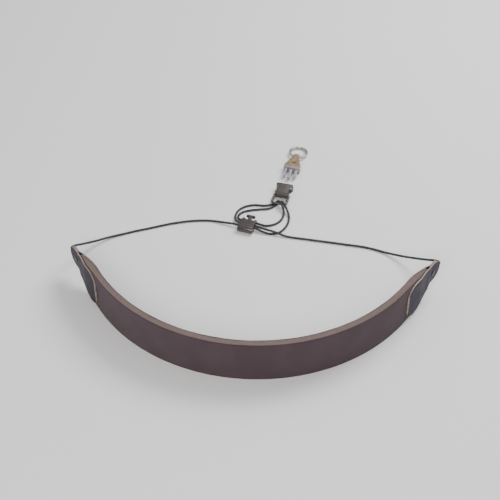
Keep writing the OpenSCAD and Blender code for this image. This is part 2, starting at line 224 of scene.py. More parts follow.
def smooth_line(points, step):
    """A smooth line through the points, with a place about every step."""
    points = np.asarray(points, float)
    ways = directions(points)
    line = []
    for p, q, way_p, way_q in zip(points, points[1:], ways, ways[1:]):
        gap = np.linalg.norm(q - p)
        for t in np.arange(0, 1, 1 / max(2, round(gap / step))):
            line.append(
                (2 * t**3 - 3 * t**2 + 1) * p
                + (t**3 - 2 * t**2 + t) * gap * way_p
                + (3 * t**2 - 2 * t**3) * q
                + (t**3 - t**2) * gap * way_q
            )
    return np.array(line + [points[-1]])


def evenly(line, step):
    """The same line with its places evenly spaced."""
    far = lengths_along(line)
    places = np.linspace(0, far[-1], int(round(far[-1] / step)) + 1)
    return np.stack([np.interp(places, far, line[:, k]) for k in range(3)], axis=1)


def settled(line, rounds):
    """The line with its tight corners eased, its ends held, and nothing under the table."""
    line = line.copy()
    for _ in range(rounds):
        line[2:-2] = line[2:-2] * 0.5 + (line[1:-3] + line[3:-1]) * 0.25
        line[:, 2] = np.maximum(line[:, 2], CORD_R)
    return line


cord_line = evenly(smooth_line(ROUTE, 0.5 * MM), 0.5 * MM)
cord_line = evenly(settled(cord_line, 8), 0.5 * MM)

# %% [markdown]
# A braided cord has a fine relief of crossing strands. Sixteen carriers run round
# it, half of them each way, and where a strand lies on top the surface stands a
# few hundredths of a millimetre higher. The relief is worked out from the place
# along the cord and the angle round it, so it is true geometry and the outline
# of the cord shows it in a close view.

# %% Cord
CORD_SIDES = 20
BRAID_LEAD = 7.0 * MM
BRAID_STRANDS = 8
BRAID_RELIEF = 0.05 * MM

along = lengths_along(cord_line)[:, None] / BRAID_LEAD * 2 * math.pi
around = (np.arange(CORD_SIDES) * 2 * math.pi / CORD_SIDES)[None]
one_way = np.cos(BRAID_STRANDS / 2 * (around + along))
other_way = np.cos(BRAID_STRANDS / 2 * (around - along))
relief = BRAID_RELIEF * (np.maximum(one_way, other_way) - 1)
cord = tube("cord_braid", cord_line, CORD_R + relief, CORD_SIDES)
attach(cord, "root")
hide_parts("cord")
print("cord mesh:", len(cord.data.polygons), "faces")

# %% [markdown]
# The band bends round an arc and runs straight for its last 53 mm at each end.
# Everything on it is placed by three numbers: how far along the band, how far
# out from the middle of its thickness, and how high above the table. The width
# comes from the working model, and the bend's size is one named value.

# %% The band's line
foam_low, foam_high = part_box("foam_core")
skin_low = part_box("outer_jersey")[0]
BAND_W = foam_high.z - foam_low.z
BEND_R = 142 * MM
BEND_HALF = math.radians(55)
STRAIGHT = 53 * MM
FOAM_STOP = 19 * MM
FOAM_T = 4.4 * MM
THIN_END = 0.2
SQUEEZE_LEN = 17 * MM
KNIT_T = 0.6 * MM
BEND_Y = skin_low.y + BEND_R + FOAM_T / 2 + KNIT_T
ARC_HALF = BEND_R * BEND_HALF
HALF_BAND = ARC_HALF + STRAIGHT


def on_band(s, n, z):
    """The place at s along the band from its middle, n out from it and z up."""
    s, n, z = np.broadcast_arrays(np.asarray(s, float), n, z)
    turn = np.clip(s, -ARC_HALF, ARC_HALF) / BEND_R
    ahead = s - turn * BEND_R
    x = (BEND_R + n) * np.sin(turn) + ahead * np.cos(turn)
    y = BEND_Y - (BEND_R + n) * np.cos(turn) + ahead * np.sin(turn)
    return np.stack([x, y, z], axis=-1)


# How far from the tip, and the band's lower and upper edge there
BAND_END = np.array([(19, 10.2, 33.6), (23, 7.2, 35.3), (31, 3.6, 36.4), (42, 1, 37.6), (53, 0, 38)]) * MM


def band_edges(s):
    """The lower and upper edge of the band at s."""
    from_tip = HALF_BAND - np.abs(s)
    return (
        np.interp(from_tip, BAND_END[:, 0], BAND_END[:, 1]),
        np.interp(from_tip, BAND_END[:, 0], BAND_END[:, 2]),
    )


def eased(t):
    """From 0 to 1 with level ends."""
    t = np.clip(t, 0, 1)
    return t * t * (3 - 2 * t)


def squeezed(from_tip):
    """How much of its thickness the foam keeps, as the leaves press it thin at the tabs."""
    return THIN_END + (1 - THIN_END) * eased((np.asarray(from_tip) - FOAM_STOP) / SQUEEZE_LEN)


print("band:", round(2 * HALF_BAND, 4), "m long,", round(BAND_W, 4), "m wide")

# %% [markdown]
# The foam is closed-cell rubber, cut with a blade. Its cut edge is paler than
# the faces, slightly hollow between the two knits that hold it, and never quite
# straight. It is lofted along the band with many points across that edge, and
# the waviness comes from a few slow sine waves, so it is the same on every run.
# Towards each end it gets thinner, where the leather leaves squeeze it.

# %% Foam
FOAM_STEPS = 300
EDGE_POINTS = 9
FACE_POINTS = 12
EDGE_HOLLOW = 0.25 * MM


def wander(s, *waves):
    """A slow, fixed unevenness along the band: (size in mm, wavelength in mm, phase) each."""
    total = np.zeros_like(np.asarray(s, float))
    for size, wavelength, phase in waves:
        total = total + size * MM * np.sin(2 * math.pi * np.asarray(s) / (wavelength * MM) + phase)
    return total


stations = np.linspace(-(HALF_BAND - FOAM_STOP), HALF_BAND - FOAM_STOP, FOAM_STEPS + 1)
low, high = band_edges(stations)
low = low + 0.08 * MM
high = high - 0.12 * MM + wander(stations, (0.10, 61, 0.3), (0.06, 23, 1.1), (0.04, 9, 2.0))
half_t = FOAM_T / 2
thin_t = half_t * squeezed(HALF_BAND - np.abs(stations))
across = np.linspace(-1, 1, EDGE_POINTS)
up = np.linspace(0, 1, FACE_POINTS)[1:-1]
ring_n, ring_z = [], []
for a in across:
    ring_n.append(a * thin_t)
    ring_z.append(low + EDGE_HOLLOW * (1 - a * a) * 0.4)
for f in up:
    ring_n.append(thin_t)
    ring_z.append(low + (high - low) * f)
for a in across[::-1]:
    ring_n.append(a * thin_t)
    ring_z.append(high - EDGE_HOLLOW * (1 - a * a))
for f in up[::-1]:
    ring_n.append(-thin_t)
    ring_z.append(low + (high - low) * f)
ring_n, ring_z = np.array(ring_n).T, np.array(ring_z).T
foam_rings = on_band(stations[:, None], ring_n, ring_z)
foam_flat = np.stack(np.broadcast_arrays(stations[:, None] / MM, (ring_z + ring_n) / MM), axis=2)
foam = loft("foam_strip", foam_rings, foam_flat)
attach(foam, "root")
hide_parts("foam_core")
print("foam:", len(foam.data.polygons), "faces")

# %% [markdown]
# A stretch knit is glued to each side of the foam. Each face is a thin shell of
# its own, 0.6 mm thick, with a cut edge that curls in over the foam by a hair.
# The shell has soft dents where the foam gives under the glue, and the knit's
# own stitches are left to the material, which is far finer than a mesh.

# %% Knit faces
SKIN_STEPS = 380
SKIN_ROWS = 26
CURL = 0.16 * MM


def knit_face(name, node, side):
    """One knit face: side is 1 outside the bend and -1 inside it."""
    s = np.linspace(-(HALF_BAND - FOAM_STOP), HALF_BAND - FOAM_STOP, SKIN_STEPS + 1)
    z0, z1 = band_edges(s)
    inside = half_t * squeezed(HALF_BAND - np.abs(s))
    z1 = z1 + wander(s, (0.07, 47, side), (0.05, 17, 2.2 * side))
    rows_n, rows_z = [], []
    for f in np.linspace(0, 1, SKIN_ROWS):
        near_edge = min(f, 1 - f) * BAND_W
        curl = CURL * math.exp(-near_edge / (0.7 * MM))
        dent = wander(s + f * 0.013, (0.05, 83, side + 4 * f), (0.035, 37, 1.7 + 3 * f))
        rows_n.append(inside + KNIT_T - curl + dent * 4 * f * (1 - f))
        rows_z.append(z0 + (z1 - z0) * f)
    for inset in (0.22, 0.62):
        rows_n.append(inside + KNIT_T * (1 - inset) - CURL)
        rows_z.append(z1 + (0.10 if inset < 0.5 else 0.02) * MM)
    for f in np.linspace(1, 0, 6):
        rows_n.append(inside + 0.01 * MM)
        rows_z.append(z0 + (z1 - z0) * f)
    rows_n, rows_z = np.array(rows_n).T * side, np.array(rows_z).T
    flat = np.stack(np.broadcast_arrays(s[:, None] / MM, rows_z / MM), axis=2)
    made = loft(name, on_band(s[:, None], rows_n, rows_z), flat, smooth_angle=50)
    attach(made, "root")
    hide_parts(node)
    return made


knit_faces = [
    knit_face("outer_knit", "outer_jersey", 1),
    knit_face("inner_knit", "inner_jersey", -1),
]
print("knit faces:", [len(k.data.polygons) for k in knit_faces])

# %% [markdown]
# Two leather leaves are sewn over each end of the band. They lie on the foam's
# two faces, come together past its end, and are glued and riveted in a rounded
# tongue that holds the cord. A leaf is a loft from its tongue to its broad end:
# at each place it has a lower edge, an upper edge and a distance from the band's
# middle. Its cut edges stay pale, so they take the leaf's second material.

# %% Leather leaves
LEAF_T = 1.5 * MM
LEAF_LEN = 50 * MM
TONGUE_R = 9.5 * MM
TIP_Z = 22.5 * MM
CORNER_R = 11 * MM
CORNER_D = 39 * MM
EDGE_R = 0.35 * MM
SEAM_INSET = 2.2 * MM
SEAM_GROOVE = 0.16 * MM
GROOVE_HALF = 0.5 * MM
GROOVE_FROM = 22 * MM
GROOVE_FADE = 6 * MM
EDGE_ROLL = 0.30 * MM
ROLL_REACH = 0.45 * MM
CUT_BULGE = 0.03 * MM
INNER_BEVEL = 0.12 * MM
ON_KNIT_GAP = 0.02 * MM
HALF_GLUE = 0.05 * MM
LEAF_EDGE = np.array(
    [
        (9.5, 13, 32), (13, 12.9, 32.1), (16, 11.4, 33), (19, 9.6, 33.8),
        (23, 7.4, 34.6), (31, 4.6, 35.4), (39, 2.4, 36),
    ]
) * MM
JOIN_D = 12.5 * MM


def leaf_edges(d):
    """A leaf's lower and upper edge at d from the tip."""
    low_line, high_line = smooth_edges
    if d < TONGUE_R:
        half = math.sqrt(max(0, TONGUE_R**2 - (d - TONGUE_R) ** 2))
        return TIP_Z - half, TIP_Z + half
    if d > CORNER_D:
        drop = CORNER_R - math.sqrt(max(0, CORNER_R**2 - (d - CORNER_D) ** 2))
        return LEAF_EDGE[-1, 1] + drop, LEAF_EDGE[-1, 2] - drop
    return tuple(float(np.interp(d, line[:, 0], line[:, 2])) for line in (low_line, high_line))


def edge_line(column):
    """A smooth line through one column of the leaf's edge table."""
    points = np.stack([LEAF_EDGE[:, 0], np.zeros(len(LEAF_EDGE)), LEAF_EDGE[:, column]], axis=1)
    return settled_edge(smooth_line(points, 0.4 * MM))


def settled_edge(line):
    """The line with its corners eased."""
    line = line.copy()
    for _ in range(20):
        line[1:-1] = line[1:-1] * 0.5 + (line[:-2] + line[2:]) * 0.25
    return line


smooth_edges = edge_line(1), edge_line(2)


def leaf_base(d):
    """How far out the leaf's inner side is at d: together in the tongue, apart on the foam."""
    on_foam = half_t * squeezed(np.maximum(d, FOAM_STOP)) + KNIT_T + ON_KNIT_GAP
    return HALF_GLUE + (on_foam - HALF_GLUE) * eased((d - JOIN_D) / (FOAM_STOP - JOIN_D))


LEAF_ROWS = 22


def leaf_ring(end, side, d):
    """The ring of points round a leaf at d. end is 1 on the right, side is 1 outside."""
    z0, z1 = leaf_edges(d)
    from_ends = min(d, LEAF_LEN - d)
    full = math.sqrt(max(0.0, 1 - (1 - min(from_ends / EDGE_R, 1)) ** 2))
    ring = []
    inner, outer = leaf_base(d), leaf_base(d) + LEAF_T
    middle = (inner + outer) / 2
    for f in np.linspace(0, 1, LEAF_ROWS):
        z = z0 + (z1 - z0) * f
        near = min(z - z0, z1 - z, LEAF_LEN - d if d > CORNER_D else 1.0)
        on_foam = eased((d - GROOVE_FROM) / GROOVE_FADE)
        groove = SEAM_GROOVE * on_foam * math.exp(-(((near - SEAM_INSET) / GROOVE_HALF) ** 2))
        roll = EDGE_ROLL * math.exp(-near / ROLL_REACH)
        ring.append((outer - groove - roll, z))
    for back in (0.62, 0.34):
        ring.append((inner + LEAF_T * back, z1 + CUT_BULGE))
    for f in np.linspace(1, 0, 5):
        ring.append((inner + INNER_BEVEL * (1 if f in (0, 1) else 0), z0 + (z1 - z0) * f))
    for back in (0.34, 0.62):
        ring.append((inner + LEAF_T * back, z0 - CUT_BULGE))
    ring = [(middle + (n - middle) * full, z) for n, z in ring]
    n, z = np.array(ring).T
    return on_band(end * (HALF_BAND - d), side * n, z), np.stack([np.full_like(n, d), z], axis=1) / MM


def leaf(end, side, name, node):
    """One leather leaf."""
    tight = np.array([0.01, 0.05, 0.12, 0.22, 0.35, 0.6, 1.0, 1.6, 2.4, 3.4, 4.6, 6.0, 7.6]) * MM
    stops = np.concatenate([tight, np.arange(9.2, 40, 0.8) * MM])
    from_end = [9.5, 8.2, 7, 5.9, 4.9, 4.0, 3.2, 2.5, 1.9, 1.4, 1.0, 0.7, 0.45, 0.25, 0.1, 0.01]
    ends = LEAF_LEN - np.array(from_end) * MM
    rings, flat = zip(*[leaf_ring(end, side, d) for d in np.concatenate([stops, ends])])
    rim = list(range(LEAF_ROWS - 1, LEAF_ROWS + 2)) + list(range(LEAF_ROWS + 6, LEAF_ROWS + 9))
    made = loft(name, rings, flat, rim=rim, rim_ends=4, smooth_angle=45)
    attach(made, "root")
    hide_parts(node)
    return made


leaves = [
    leaf(end, side, f"{where}_{face}_leather", f"{where}_{face}_leaf")
    for end, where in ((-1, "left"), (1, "right"))
    for side, face in ((1, "outer"), (-1, "inner"))
]
print("leaves:", [o.name for o in leaves])

# %% [markdown]
# A row of thread runs inside each leaf's edge. It repeats, so Geometry Nodes make
# it: a line along the seam is cut into even steps, a short stitch is set on each
# and turned along the line, and a little fixed randomness keeps the row from
# looking stamped. The stitches are then made real and get their material.

# %% Stitch tree
def stitch_tree():
    """Stitches along a line, with the pitch, length and thread size as inputs."""
    tree = bpy.data.node_groups.new("sewn_row", "GeometryNodeTree")
    face = tree.interface
    face.new_socket("Line", in_out="INPUT", socket_type="NodeSocketGeometry")
    sizes = {"Pitch": 3.2 * MM, "Stitch length": 2.3 * MM, "Thread radius": 0.3 * MM}
    for label, value in sizes.items():
        socket = face.new_socket(label, in_out="INPUT", socket_type="NodeSocketFloat")
        socket.default_value = value
    face.new_socket("Seed", in_out="INPUT", socket_type="NodeSocketInt").default_value = 7
    face.new_socket("Material", in_out="INPUT", socket_type="NodeSocketMaterial")
    face.new_socket("Stitches", in_out="OUTPUT", socket_type="NodeSocketGeometry")
    make, join = tree.nodes.new, tree.links.new
    given, result = make("NodeGroupInput"), make("NodeGroupOutput")
    line = make("GeometryNodeMeshToCurve")
    steps = make("GeometryNodeResampleCurve")
    steps.mode = "LENGTH"
    way = make("GeometryNodeInputTangent")
    turn = make("FunctionNodeAlignRotationToVector")
    turn.axis = "Z"
    bead = make("GeometryNodeMeshUVSphere")
    bead.inputs["Segments"].default_value = 8
    bead.inputs["Rings"].default_value = 6
    bead.inputs["Radius"].default_value = 1.0
    half = make("ShaderNodeMath")
    half.operation = "MULTIPLY"
    half.inputs[1].default_value = 0.5
    shape = make("ShaderNodeCombineXYZ")
    spread = make("FunctionNodeRandomValue")
    spread.data_type = "FLOAT"
    spread.inputs["Min"].default_value = 0.9
    spread.inputs["Max"].default_value = 1.08
    vary = make("ShaderNodeVectorMath")
    vary.operation = "SCALE"
    place = make("GeometryNodeInstanceOnPoints")
    soft = make("GeometryNodeSetShadeSmooth")
    real = make("GeometryNodeRealizeInstances")
    coat = make("GeometryNodeSetMaterial")
    join(given.outputs["Line"], line.inputs["Mesh"])
    join(line.outputs["Curve"], steps.inputs["Curve"])
    join(given.outputs["Pitch"], steps.inputs["Length"])
    join(way.outputs["Tangent"], turn.inputs["Vector"])
    join(given.outputs["Stitch length"], half.inputs[0])
    join(given.outputs["Thread radius"], shape.inputs["X"])
    join(given.outputs["Thread radius"], shape.inputs["Y"])
    join(half.outputs[0], shape.inputs["Z"])
    join(given.outputs["Seed"], spread.inputs["Seed"])
    join(shape.outputs[0], vary.inputs[0])
    join(spread.outputs[1], vary.inputs["Scale"])
    join(bead.outputs["Mesh"], soft.inputs["Geometry"])
    join(steps.outputs["Curve"], place.inputs["Points"])
    join(soft.outputs["Geometry"], place.inputs["Instance"])
    join(turn.outputs["Rotation"], place.inputs["Rotation"])
    join(vary.outputs[0], place.inputs["Scale"])
    join(place.outputs["Instances"], real.inputs["Geometry"])
    join(real.outputs["Geometry"], coat.inputs["Geometry"])
    join(given.outputs["Material"], coat.inputs["Material"])
    join(coat.outputs["Geometry"], result.inputs["Stitches"])
    return tree


sewn_row = stitch_tree()
print("tree:", sewn_row.name, [item.name for item in sewn_row.interface.items_tree])

# %% [markdown]
# The seam's line is worked out on the leaf's own surface, a little inside its
# edge, down the lower side, round the broad end and back along the upper side.
# One object holds both faces of an end, because all of it rides on one body.

# %% Stitches
def seam_points(end, side):
    """The seam's line on one face of one end."""
    reach = CORNER_R - SEAM_INSET
    low_z, high_z = LEAF_EDGE[-1, 1] + CORNER_R, LEAF_EDGE[-1, 2] - CORNER_R
    run = np.arange(25, 39.1, 1.0) * MM
    round_end = np.radians(np.arange(80, -1, -10))
    upper = [(d, leaf_edges(d)[1] - SEAM_INSET) for d in run]
    upper += [(CORNER_D + reach * math.sin(a), high_z + reach * math.cos(a)) for a in round_end[::-1]]
    lower = [(d, leaf_edges(d)[0] + SEAM_INSET) for d in run]
    lower += [(CORNER_D + reach * math.sin(a), low_z - reach * math.cos(a)) for a in round_end[::-1]]
    d, z = np.array(upper + lower[::-1]).T
    n = side * (leaf_base(d) + LEAF_T - 0.10 * MM)
    return on_band(end * (HALF_BAND - d), n, z)


def stitches(name, end, node, thread):
    """The stitches of one end, as one plain mesh."""
    points, edges = [], []
    for side in (1, -1):
        line = seam_points(end, side)
        edges += [(len(points) + i, len(points) + i + 1) for i in range(len(line) - 1)]
        points += line.tolist()
    mesh = bpy.data.meshes.new(name + "_line")
    mesh.from_pydata(points, edges, [])
    source = new_object(name + "_line", mesh)
    modifier = source.modifiers.new("sewn_row", "NODES")
    modifier.node_group = sewn_row
    inputs = {item.name: item.identifier for item in sewn_row.interface.items_tree if item.in_out == "INPUT"}
    modifier[inputs["Seed"]] = 11 if end > 0 else 12
    modifier[inputs["Material"]] = thread
    bpy.context.view_layer.update()
    seen = source.evaluated_get(bpy.context.evaluated_depsgraph_get())
    made = new_object(name, bpy.data.meshes.new_from_object(seen))
    bpy.data.objects.remove(source)
    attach(made, "root")
    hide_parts(node)
    return made


thread = bpy.data.materials.new("thread")
seams = [
    stitches("left_seam", -1, "left_stitches", thread),
    stitches("right_seam", 1, "right_stitches", thread),
]
print("seams:", [len(o.data.polygons) for o in seams])

# %% [markdown]
# The rivets are turned parts: a head with a soft dome and a rolled edge, and a
# cap like it on the inner side. A turned part is a profile carried round an
# axis, so one helper spins a short list of radius and height. The profile goes
# in and out of the axis at both ends, which closes the shell.

# %% Rivets
RIVET_D = 10.5 * MM
HEAD_R = 2.6 * MM
SHANK_R = 1.5 * MM
TURN_STEPS = 40


def turned(name, profile, centre, axis):
    """A shell turned about an axis, from (radius, height) pairs in millimetres."""
    axis = unit(np.asarray(axis, float))
    u = unit(np.cross(axis, (0, 0, 1)))
    v = np.cross(axis, u)
    rings = []
    for radius, height in profile:
        turn = np.arange(TURN_STEPS) * 2 * math.pi / TURN_STEPS
        ring = np.cos(turn)[:, None] * u + np.sin(turn)[:, None] * v
        rings.append(centre + axis * height * MM + ring * max(radius, 0.01) * MM)
    heights = np.array([h for _, h in profile])
    flat = np.stack(np.broadcast_arrays(heights[:, None], np.linspace(0, 1, TURN_STEPS)[None]), axis=2)
    return loft(name, rings, flat, smooth_angle=50)


def dome(radius, base, height):
    """A domed head with a rolled edge, from its edge up to the middle."""
    profile = [(radius - 0.12, base), (radius, base + 0.1), (radius, base + 0.24)]
    for a in np.radians((20, 40, 60, 78)):
        profile.append((radius * math.cos(a) * 0.97, base + 0.24 + (height - 0.24) * math.sin(a)))
    return profile + [(0, base + height)]


rivets = []
for end, where in ((-1, "left"), (1, "right")):
    d_place = end * (HALF_BAND - RIVET_D)
    centre = on_band(d_place, 0.0, TIP_Z)
    out = on_band(d_place, 1.0, TIP_Z) - centre
    face_n = (leaf_base(RIVET_D) + LEAF_T) / MM
    shank = [(0, -face_n - 0.3), (SHANK_R / MM, -face_n - 0.3), (SHANK_R / MM, face_n - 0.04)]
    head = turned(where + "_rivet_head", shank + dome(HEAD_R / MM, face_n - 0.04, 0.7), centre, out)
    ring = [(0, face_n + 0.3), (SHANK_R / MM + 0.02, face_n + 0.3), (SHANK_R / MM + 0.02, face_n - 0.04)]
    cap = turned(where + "_rivet_back", ring + dome(HEAD_R / MM, face_n - 0.04, 0.78), centre, -out)
    for piece, node in ((head, where + "_rivet"), (cap, where + "_rivet_cap")):
        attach(piece, "root")
        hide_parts(node)
        rivets.append(piece)
print("rivets:", [o.name for o in rivets])

# %% [markdown]
# The lock and the buckle are injection moulded. Their working shapes are right,
# but a moulded part has no sharp edge anywhere. Each is copied from the working
# model, its loose triangles are merged into plain faces, and a Bevel modifier
# rounds every edge by a few tenths of a millimetre before the copy stands for
# the node.

# %% Moulded pieces
def moulded(name, node, body, rounding, steps=3):
    """A copy of a working part with its edges rounded as a mould leaves them."""
    source = frame["nodes"][node]
    mesh = source.data.copy()
    mesh.name = name
    mesh.materials.clear()
    shell = bmesh.new()
    shell.from_mesh(mesh)
    bmesh.ops.remove_doubles(shell, verts=shell.verts, dist=2e-6)
    bmesh.ops.dissolve_limit(shell, angle_limit=math.radians(1.5), verts=shell.verts, edges=shell.edges)
    bmesh.ops.recalc_face_normals(shell, faces=shell.faces)
    shell.to_mesh(mesh)
    shell.free()
    piece = new_object(name, mesh)
    bevel = piece.modifiers.new("rounded", "BEVEL")
    bevel.width = rounding
    bevel.segments = steps
    bevel.limit_method = "ANGLE"
    bevel.angle_limit = math.radians(28)
    bevel.use_clamp_overlap = True
    bpy.context.view_layer.update()
    seen = piece.evaluated_get(bpy.context.evaluated_depsgraph_get())
    rounded = bpy.data.meshes.new_from_object(seen)
    piece.modifiers.clear()
    piece.data = rounded
    rounded.shade_smooth()
    rounded.set_sharp_from_angle(angle=math.radians(40))
    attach(piece, body)
    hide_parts(node)
    return piece


lock_shell = moulded("lock_shell", "lock_body", "root", 0.35 * MM)
lock_button = moulded("lock_button", "lock_plunger", "plunger", 0.3 * MM)
socket = moulded("buckle_female", "buckle_socket", "socket", 0.35 * MM)
plug = moulded("buckle_male", "buckle_plug", "plug", 0.4 * MM)
print("moulded:", [(o.name, len(o.data.polygons)) for o in (lock_shell, lock_button, socket, plug)])

# %% [markdown]
# The lock's spring sits under the button and pushes it out. It is a fine wire along a helix, so it is a tube
# like the cord. When the button is pressed the spring gets shorter.

# %% Spring
button_slide = next(j for j in frame["joints"] if j["name"] == "plunger_press")
press_way = unit(np.array(button_slide["axis"], float))
spring_low, spring_high = (np.array(c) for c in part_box("lock_spring"))
spring_centre = (spring_low + spring_high) / 2
SPRING_R = 1.75 * MM
WIRE_R = 0.15 * MM
SPRING_TURNS = 3
SPRING_LEN = 2.7 * MM
spin = np.linspace(0, 2 * math.pi * SPRING_TURNS, 30 * SPRING_TURNS + 1)
across_lock = unit(np.cross(press_way, (0, 0, 1)))
rise = (0.5 - spin / spin[-1]) * SPRING_LEN
coil_line = (
    spring_centre
    + rise[:, None] * press_way
    + SPRING_R * (np.cos(spin)[:, None] * across_lock + np.sin(spin)[:, None] * np.array((0, 0, 1.0)))
)
spring = tube("lock_coil", coil_line, WIRE_R, 8)
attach(spring, "root")
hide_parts("lock_spring")
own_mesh(spring)

# %% [markdown]
# A split ring is one length of flat wire that goes round twice. Each turn lies on
# the other, and in a short stretch the wire steps from one to the next. So its
# path is a circle whose height is level for most of a turn and then eases over,
# and its two cut ends show on opposite sides of the step.

# %% Split ring
RING_R = 7.9 * MM
RING_WIRE_W = 1.3 * MM
RING_WIRE_T = 1.18 * MM
RING_TILT = math.radians(-6)
RING_CLEAR = 0.03 * MM
RING_START_DEG = 96
WIRE_DEG = 714
STEP_HALF = math.radians(13)
hinge = next(j for j in frame["joints"] if j["name"] == "ring_swing")
across_ring = unit(np.array(hinge["axis"], float))
flat_way = np.cross((0, 0, 1.0), across_ring)
ring_way = math.cos(RING_TILT) * flat_way + math.sin(RING_TILT) * np.array((0, 0, 1.0))
ring_up = np.cross(across_ring, ring_way)
ring_centre = np.array(hinge["pos_m"]) + RING_R * ring_way


def ring_wire():
    """The two turns of flat wire, as one closed loft."""
    rings, flat = [], []
    start, stop = math.radians(RING_START_DEG), math.radians(RING_START_DEG + WIRE_DEG)
    step_at = math.radians(RING_START_DEG + WIRE_DEG / 2)
    for a in np.linspace(start, stop, 240):
        past = (a - step_at) / STEP_HALF
        height = (RING_WIRE_T + RING_CLEAR) * (eased((past + 1) / 2) - 0.5)
        out = math.cos(a) * across_ring + math.sin(a) * ring_way
        corner = 0.22 * MM
        w, t = RING_WIRE_W / 2, RING_WIRE_T / 2
        section = [
            (w - corner, t), (w - 0.3 * corner, t - 0.3 * corner), (w, t - corner),
            (w, corner - t), (w - 0.3 * corner, 0.3 * corner - t), (w - corner, -t),
            (corner - w, -t), (0.3 * corner - w, 0.3 * corner - t), (-w, corner - t),
            (-w, t - corner), (0.3 * corner - w, t - 0.3 * corner), (corner - w, t),
        ]
        rings.append([ring_centre + (RING_R + x) * out + (height + y) * ring_up for x, y in section])
        flat.append([(a * RING_R / MM, k) for k in range(len(section))])
    return loft("ring_wire", rings, flat, smooth_angle=35)


key_ring = ring_wire()
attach(key_ring, "ring")
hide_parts("split_ring")
print("ring across:", round(2 * RING_R + RING_WIRE_W, 4), "m")

# %% [markdown]
# Most finishes need the same two effects, a fine uneven grain and soft blotches
# of wear or dust, and one shader node group gives both. A second one gives the
# knit's rows of loops. A group gives only masks and heights, and the shader stays
# in each material, where its plain numbers are set on its own sockets.

# %% Shader node groups
def new_group(name, inputs, outputs):
    """An empty shader group with float inputs (name: value) and named outputs."""
    group = bpy.data.node_groups.new(name, "ShaderNodeTree")
    face = group.interface
    face.new_socket("Vector", in_out="INPUT", socket_type="NodeSocketVector")
    for label, value in inputs.items():
        face.new_socket(label, in_out="INPUT", socket_type="NodeSocketFloat").default_value = value
    for label in outputs:
        face.new_socket(label, in_out="OUTPUT", socket_type="NodeSocketFloat")
    return group, group.nodes.new("NodeGroupInput"), group.nodes.new("NodeGroupOutput")


def math_node(tree, operation, first, second=None):
    """A Math node whose inputs are sockets or numbers, and its output."""
    node = tree.nodes.new("ShaderNodeMath")
    node.operation = operation
    for place, value in enumerate((first, second)):
        if isinstance(value, (int, float)):
            node.inputs[place].default_value = value
        elif value is not None:
            tree.links.new(value, node.inputs[place])
    return node.outputs[0]


def noise(tree, vector, scale, detail=2.0, roughness=0.5):
    """A noise texture's factor. scale is a number or a socket."""
    node = tree.nodes.new("ShaderNodeTexNoise")
    node.inputs["Detail"].default_value = detail
    node.inputs["Roughness"].default_value = roughness
    tree.links.new(vector, node.inputs["Vector"])
    if isinstance(scale, (int, float)):
        node.inputs["Scale"].default_value = scale
    else:
        tree.links.new(scale, node.inputs["Scale"])
    return node.outputs["Fac"]


def ramp(tree, value, low, high):
    """A mask that goes from 0 at low to 1 at high."""
    node = tree.nodes.new("ShaderNodeMapRange")
    node.interpolation_type = "SMOOTHSTEP"
    node.inputs["From Min"].default_value = low
    node.inputs["From Max"].default_value = high
    tree.links.new(value, node.inputs["Value"])
    return node.outputs["Result"]


def grain_group():
    """A fine grain: an even height, and a mask of slow blotches."""
    inputs = {"Grain Scale": 4000, "Blotch Scale": 120}
    group, given, result = new_group("grain", inputs, ("Height", "Blotches"))
    fine = noise(group, given.outputs["Vector"], given.outputs["Grain Scale"], 3.0, 0.6)
    slow = noise(group, given.outputs["Vector"], given.outputs["Blotch Scale"], 4.0, 0.55)
    group.links.new(fine, result.inputs["Height"])
    group.links.new(ramp(group, slow, 0.35, 0.68), result.inputs["Blotches"])
    return group


def knit_group():
    """A stretch knit's rows of loops, from a UV map in millimetres."""
    inputs = {"Wale Width": 0.62, "Course Height": 0.5}
    group, given, result = new_group("knit_loops", inputs, ("Height",))
    parts = group.nodes.new("ShaderNodeSeparateXYZ")
    group.links.new(given.outputs["Vector"], parts.inputs[0])
    wale = math_node(group, "DIVIDE", parts.outputs["X"], given.outputs["Wale Width"])
    column = math_node(group, "SUBTRACT", math_node(group, "FRACT", wale), 0.5)
    slant = math_node(group, "MULTIPLY", math_node(group, "ABSOLUTE", column), 1.1)
    course = math_node(group, "DIVIDE", parts.outputs["Y"], given.outputs["Course Height"])
    row = math_node(group, "FRACT", math_node(group, "ADD", course, slant))
    loop = math_node(group, "SINE", math_node(group, "MULTIPLY", row, math.pi))
    wave = math_node(group, "SINE", math_node(group, "MULTIPLY", column, 2 * math.pi))
    rib = math_node(group, "MULTIPLY", math_node(group, "ABSOLUTE", wave), 0.7)
    height = math_node(group, "MULTIPLY", loop, math_node(group, "ADD", rib, 0.3))
    group.links.new(height, result.inputs["Height"])
    return group


grain = grain_group()
knit_loops = knit_group()
print("groups:", grain.name, knit_loops.name)

# %% [markdown]
# Every finish starts the same way: a Principled shader, a base colour that a mask
# moves between two close tones, a roughness that the same mask moves a little,
# and a bump from a fine height. One helper lays that out, and each material then
# adds what it alone has, such as sheen on the knit or a coat on the plastic.

